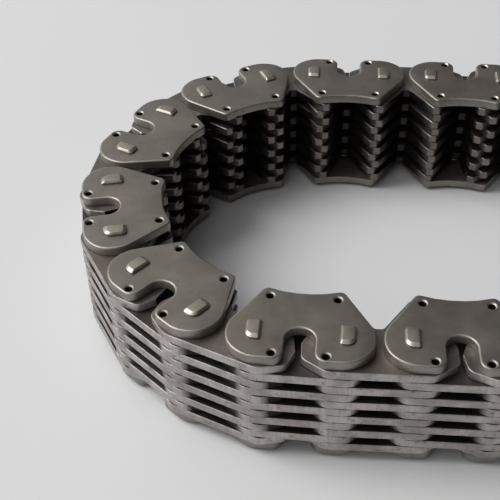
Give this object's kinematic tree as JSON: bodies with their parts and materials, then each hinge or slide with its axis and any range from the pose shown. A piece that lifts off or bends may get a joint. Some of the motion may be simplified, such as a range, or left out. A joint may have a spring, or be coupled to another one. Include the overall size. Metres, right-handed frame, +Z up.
{
  "type": "inverted-tooth drive chain",
  "caption": "Closed loop of inverted-tooth drive chain with outside guide plates and rocker joints, lying on its side; toothed steel plates face into the loop.",
  "frame": {"origin": "middle of the loop's bounding box, in the plane of the lower pin ends that it lies on", "axes": "+X along the straight runs of the loop, +Y towards the rear run in the picture, +Z up, along the pins"},
  "size_m": [0.1054, 0.0806, 0.0217],
  "materials": {
    "guide_steel": "dark, die-rolled edges, worn",
    "plate_steel": "oiled, edges rubbed bright"
  },
  "bodies": {
    "guide_link_01": {"guide_row_01_plates_and_pins": "plate_steel", "guide_plate_01_bottom": "guide_steel", "guide_plate_01_top": "guide_steel"},
    "inner_link_01": {"inner_row_01_plates_and_rockers": "plate_steel"},
    "guide_link_02": {"guide_row_02_plates_and_pins": "plate_steel", "guide_plate_02_bottom": "guide_steel", "guide_plate_02_top": "guide_steel"},
    "inner_link_02": {"inner_row_02_plates_and_rockers": "plate_steel"},
    "guide_link_03": {"guide_row_03_plates_and_pins": "plate_steel", "guide_plate_03_bottom": "guide_steel", "guide_plate_03_top": "guide_steel"},
    "inner_link_03": {"inner_row_03_plates_and_rockers": "plate_steel"},
    "guide_link_04": {"guide_row_04_plates_and_pins": "plate_steel", "guide_plate_04_bottom": "guide_steel", "guide_plate_04_top": "guide_steel"},
    "inner_link_04": {"inner_row_04_plates_and_rockers": "plate_steel"},
    "guide_link_05": {"guide_row_05_plates_and_pins": "plate_steel", "guide_plate_05_bottom": "guide_steel", "guide_plate_05_top": "guide_steel"},
    "inner_link_05": {"inner_row_05_plates_and_rockers": "plate_steel"},
    "guide_link_06": {"guide_row_06_plates_and_pins": "plate_steel", "guide_plate_06_bottom": "guide_steel", "guide_plate_06_top": "guide_steel"},
    "inner_link_06": {"inner_row_06_plates_and_rockers": "plate_steel"},
    "guide_link_07": {"guide_row_07_plates_and_pins": "plate_steel", "guide_plate_07_bottom": "guide_steel", "guide_plate_07_top": "guide_steel"},
    "inner_link_07": {"inner_row_07_plates_and_rockers": "plate_steel"},
    "guide_link_08": {"guide_row_08_plates_and_pins": "plate_steel", "guide_plate_08_bottom": "guide_steel", "guide_plate_08_top": "guide_steel"},
    "inner_link_08": {"inner_row_08_plates_and_rockers": "plate_steel"},
    "guide_link_09": {"guide_row_09_plates_and_pins": "plate_steel", "guide_plate_09_bottom": "guide_steel", "guide_plate_09_top": "guide_steel"},
    "inner_link_09": {"inner_row_09_plates_and_rockers": "plate_steel"},
    "guide_link_10": {"guide_row_10_plates_and_pins": "plate_steel", "guide_plate_10_bottom": "guide_steel", "guide_plate_10_top": "guide_steel"},
    "inner_link_10": {"inner_row_10_plates_and_rockers": "plate_steel"},
    "guide_link_11": {"guide_row_11_plates_and_pins": "plate_steel", "guide_plate_11_bottom": "guide_steel", "guide_plate_11_top": "guide_steel"},
    "inner_link_11": {"inner_row_11_plates_and_rockers": "plate_steel"},
    "guide_link_12": {"guide_row_12_plates_and_pins": "plate_steel", "guide_plate_12_bottom": "guide_steel", "guide_plate_12_top": "guide_steel"},
    "inner_link_12": {"inner_row_12_plates_and_rockers": "plate_steel"}
  },
  "joints": [
    {"name": "hinge_01", "type": "hinge", "parent": "guide_link_01", "child": "inner_link_01", "pos_m": [-0.01338, 0.03455, 0.01083], "axis": [0, 0, 1], "range_deg": [-14.5, 2]},
    {"name": "hinge_02", "type": "hinge", "parent": "inner_link_01", "child": "guide_link_02", "pos_m": [-0.02425, 0.03224, 0.01083], "axis": [0, 0, 1], "range_deg": [-8.5, 11.5]},
    {"name": "hinge_03", "type": "hinge", "parent": "guide_link_02", "child": "inner_link_02", "pos_m": [-0.03402, 0.02694, 0.01083], "axis": [0, 0, 1], "range_deg": [-11.5, 8.5]},
    {"name": "hinge_04", "type": "hinge", "parent": "inner_link_02", "child": "guide_link_03", "pos_m": [-0.04145, 0.01868, 0.01083], "axis": [0, 0, 1], "range_deg": [-9, 10]},
    {"name": "hinge_05", "type": "hinge", "parent": "guide_link_03", "child": "inner_link_03", "pos_m": [-0.04597, 0.00853, 0.01083], "axis": [0, 0, 1], "range_deg": [-10, 9]},
    {"name": "hinge_06", "type": "hinge", "parent": "inner_link_03", "child": "guide_link_04", "pos_m": [-0.04694, -0.00254, 0.01083], "axis": [0, 0, 1], "range_deg": [-9, 10.5]},
    {"name": "hinge_07", "type": "hinge", "parent": "guide_link_04", "child": "inner_link_04", "pos_m": [-0.04454, -0.01339, 0.01083], "axis": [0, 0, 1], "range_deg": [-10.5, 9]},
    {"name": "hinge_08", "type": "hinge", "parent": "inner_link_04", "child": "guide_link_05", "pos_m": [-0.03873, -0.02287, 0.01083], "axis": [0, 0, 1], "range_deg": [-10.5, 9.5]},
    {"name": "hinge_09", "type": "hinge", "parent": "guide_link_05", "child": "inner_link_05", "pos_m": [-0.03022, -0.03001, 0.01083], "axis": [0, 0, 1], "range_deg": [-9.5, 10.5]},
    {"name": "hinge_10", "type": "hinge", "parent": "inner_link_05", "child": "guide_link_06", "pos_m": [-0.01995, -0.03426, 0.01083], "axis": [0, 0, 1], "range_deg": [-23, 5]},
    {"name": "hinge_11", "type": "hinge", "parent": "guide_link_06", "child": "inner_link_06", "pos_m": [-0.00884, -0.03465, 0.01083], "axis": [0, 0, 1], "range_deg": [-5, 23]},
    {"name": "hinge_12", "type": "hinge", "parent": "inner_link_06", "child": "guide_link_07", "pos_m": [0.00227, -0.03455, 0.01083], "axis": [0, 0, 1], "range_deg": [-2, 14.5]},
    {"name": "hinge_14", "type": "hinge", "parent": "guide_link_08", "child": "inner_link_07", "pos_m": [0.02425, -0.03224, 0.01083], "axis": [0, 0, 1], "range_deg": [-11.5, 8.5]},
    {"name": "hinge_15", "type": "hinge", "parent": "inner_link_08", "child": "guide_link_08", "pos_m": [0.03402, -0.02694, 0.01083], "axis": [0, 0, 1], "range_deg": [-8.5, 11.5]},
    {"name": "hinge_16", "type": "hinge", "parent": "guide_link_09", "child": "inner_link_08", "pos_m": [0.04145, -0.01868, 0.01083], "axis": [0, 0, 1], "range_deg": [-10, 9]},
    {"name": "hinge_17", "type": "hinge", "parent": "inner_link_09", "child": "guide_link_09", "pos_m": [0.04597, -0.00853, 0.01083], "axis": [0, 0, 1], "range_deg": [-9, 10]},
    {"name": "hinge_18", "type": "hinge", "parent": "guide_link_10", "child": "inner_link_09", "pos_m": [0.04694, 0.00254, 0.01083], "axis": [0, 0, 1], "range_deg": [-10.5, 9]},
    {"name": "hinge_19", "type": "hinge", "parent": "inner_link_10", "child": "guide_link_10", "pos_m": [0.04454, 0.01339, 0.01083], "axis": [0, 0, 1], "range_deg": [-9, 10.5]},
    {"name": "hinge_20", "type": "hinge", "parent": "guide_link_11", "child": "inner_link_10", "pos_m": [0.03873, 0.02287, 0.01083], "axis": [0, 0, 1], "range_deg": [-9.5, 10.5]},
    {"name": "hinge_21", "type": "hinge", "parent": "inner_link_11", "child": "guide_link_11", "pos_m": [0.03022, 0.03001, 0.01083], "axis": [0, 0, 1], "range_deg": [-10.5, 9.5]},
    {"name": "hinge_22", "type": "hinge", "parent": "guide_link_12", "child": "inner_link_11", "pos_m": [0.01995, 0.03426, 0.01083], "axis": [0, 0, 1], "range_deg": [-5, 23]},
    {"name": "hinge_23", "type": "hinge", "parent": "inner_link_12", "child": "guide_link_12", "pos_m": [0.00884, 0.03465, 0.01083], "axis": [0, 0, 1], "range_deg": [-23, 5]},
    {"name": "hinge_24", "type": "hinge", "parent": "guide_link_01", "child": "inner_link_12", "pos_m": [-0.00227, 0.03455, 0.01083], "axis": [0, 0, 1], "range_deg": [-14.5, 2]}
  ],
  "couplings": [
    {"joint": "hinge_01", "follows": "hinge_12", "ratio": -1},
    {"joint": "hinge_03", "follows": "hinge_02", "ratio": -1},
    {"joint": "hinge_05", "follows": "hinge_04", "ratio": -1},
    {"joint": "hinge_07", "follows": "hinge_06", "ratio": -1},
    {"joint": "hinge_09", "follows": "hinge_08", "ratio": -1},
    {"joint": "hinge_10", "follows": "hinge_11", "ratio": -1},
    {"joint": "hinge_14", "follows": "hinge_02", "ratio": -1},
    {"joint": "hinge_15", "follows": "hinge_02", "ratio": 1},
    {"joint": "hinge_16", "follows": "hinge_04", "ratio": -1},
    {"joint": "hinge_17", "follows": "hinge_04", "ratio": 1},
    {"joint": "hinge_18", "follows": "hinge_06", "ratio": -1},
    {"joint": "hinge_19", "follows": "hinge_06", "ratio": 1},
    {"joint": "hinge_20", "follows": "hinge_08", "ratio": -1},
    {"joint": "hinge_21", "follows": "hinge_08", "ratio": 1},
    {"joint": "hinge_22", "follows": "hinge_11", "ratio": 1},
    {"joint": "hinge_23", "follows": "hinge_11", "ratio": -1},
    {"joint": "hinge_24", "follows": "hinge_12", "ratio": -1}
  ]
}
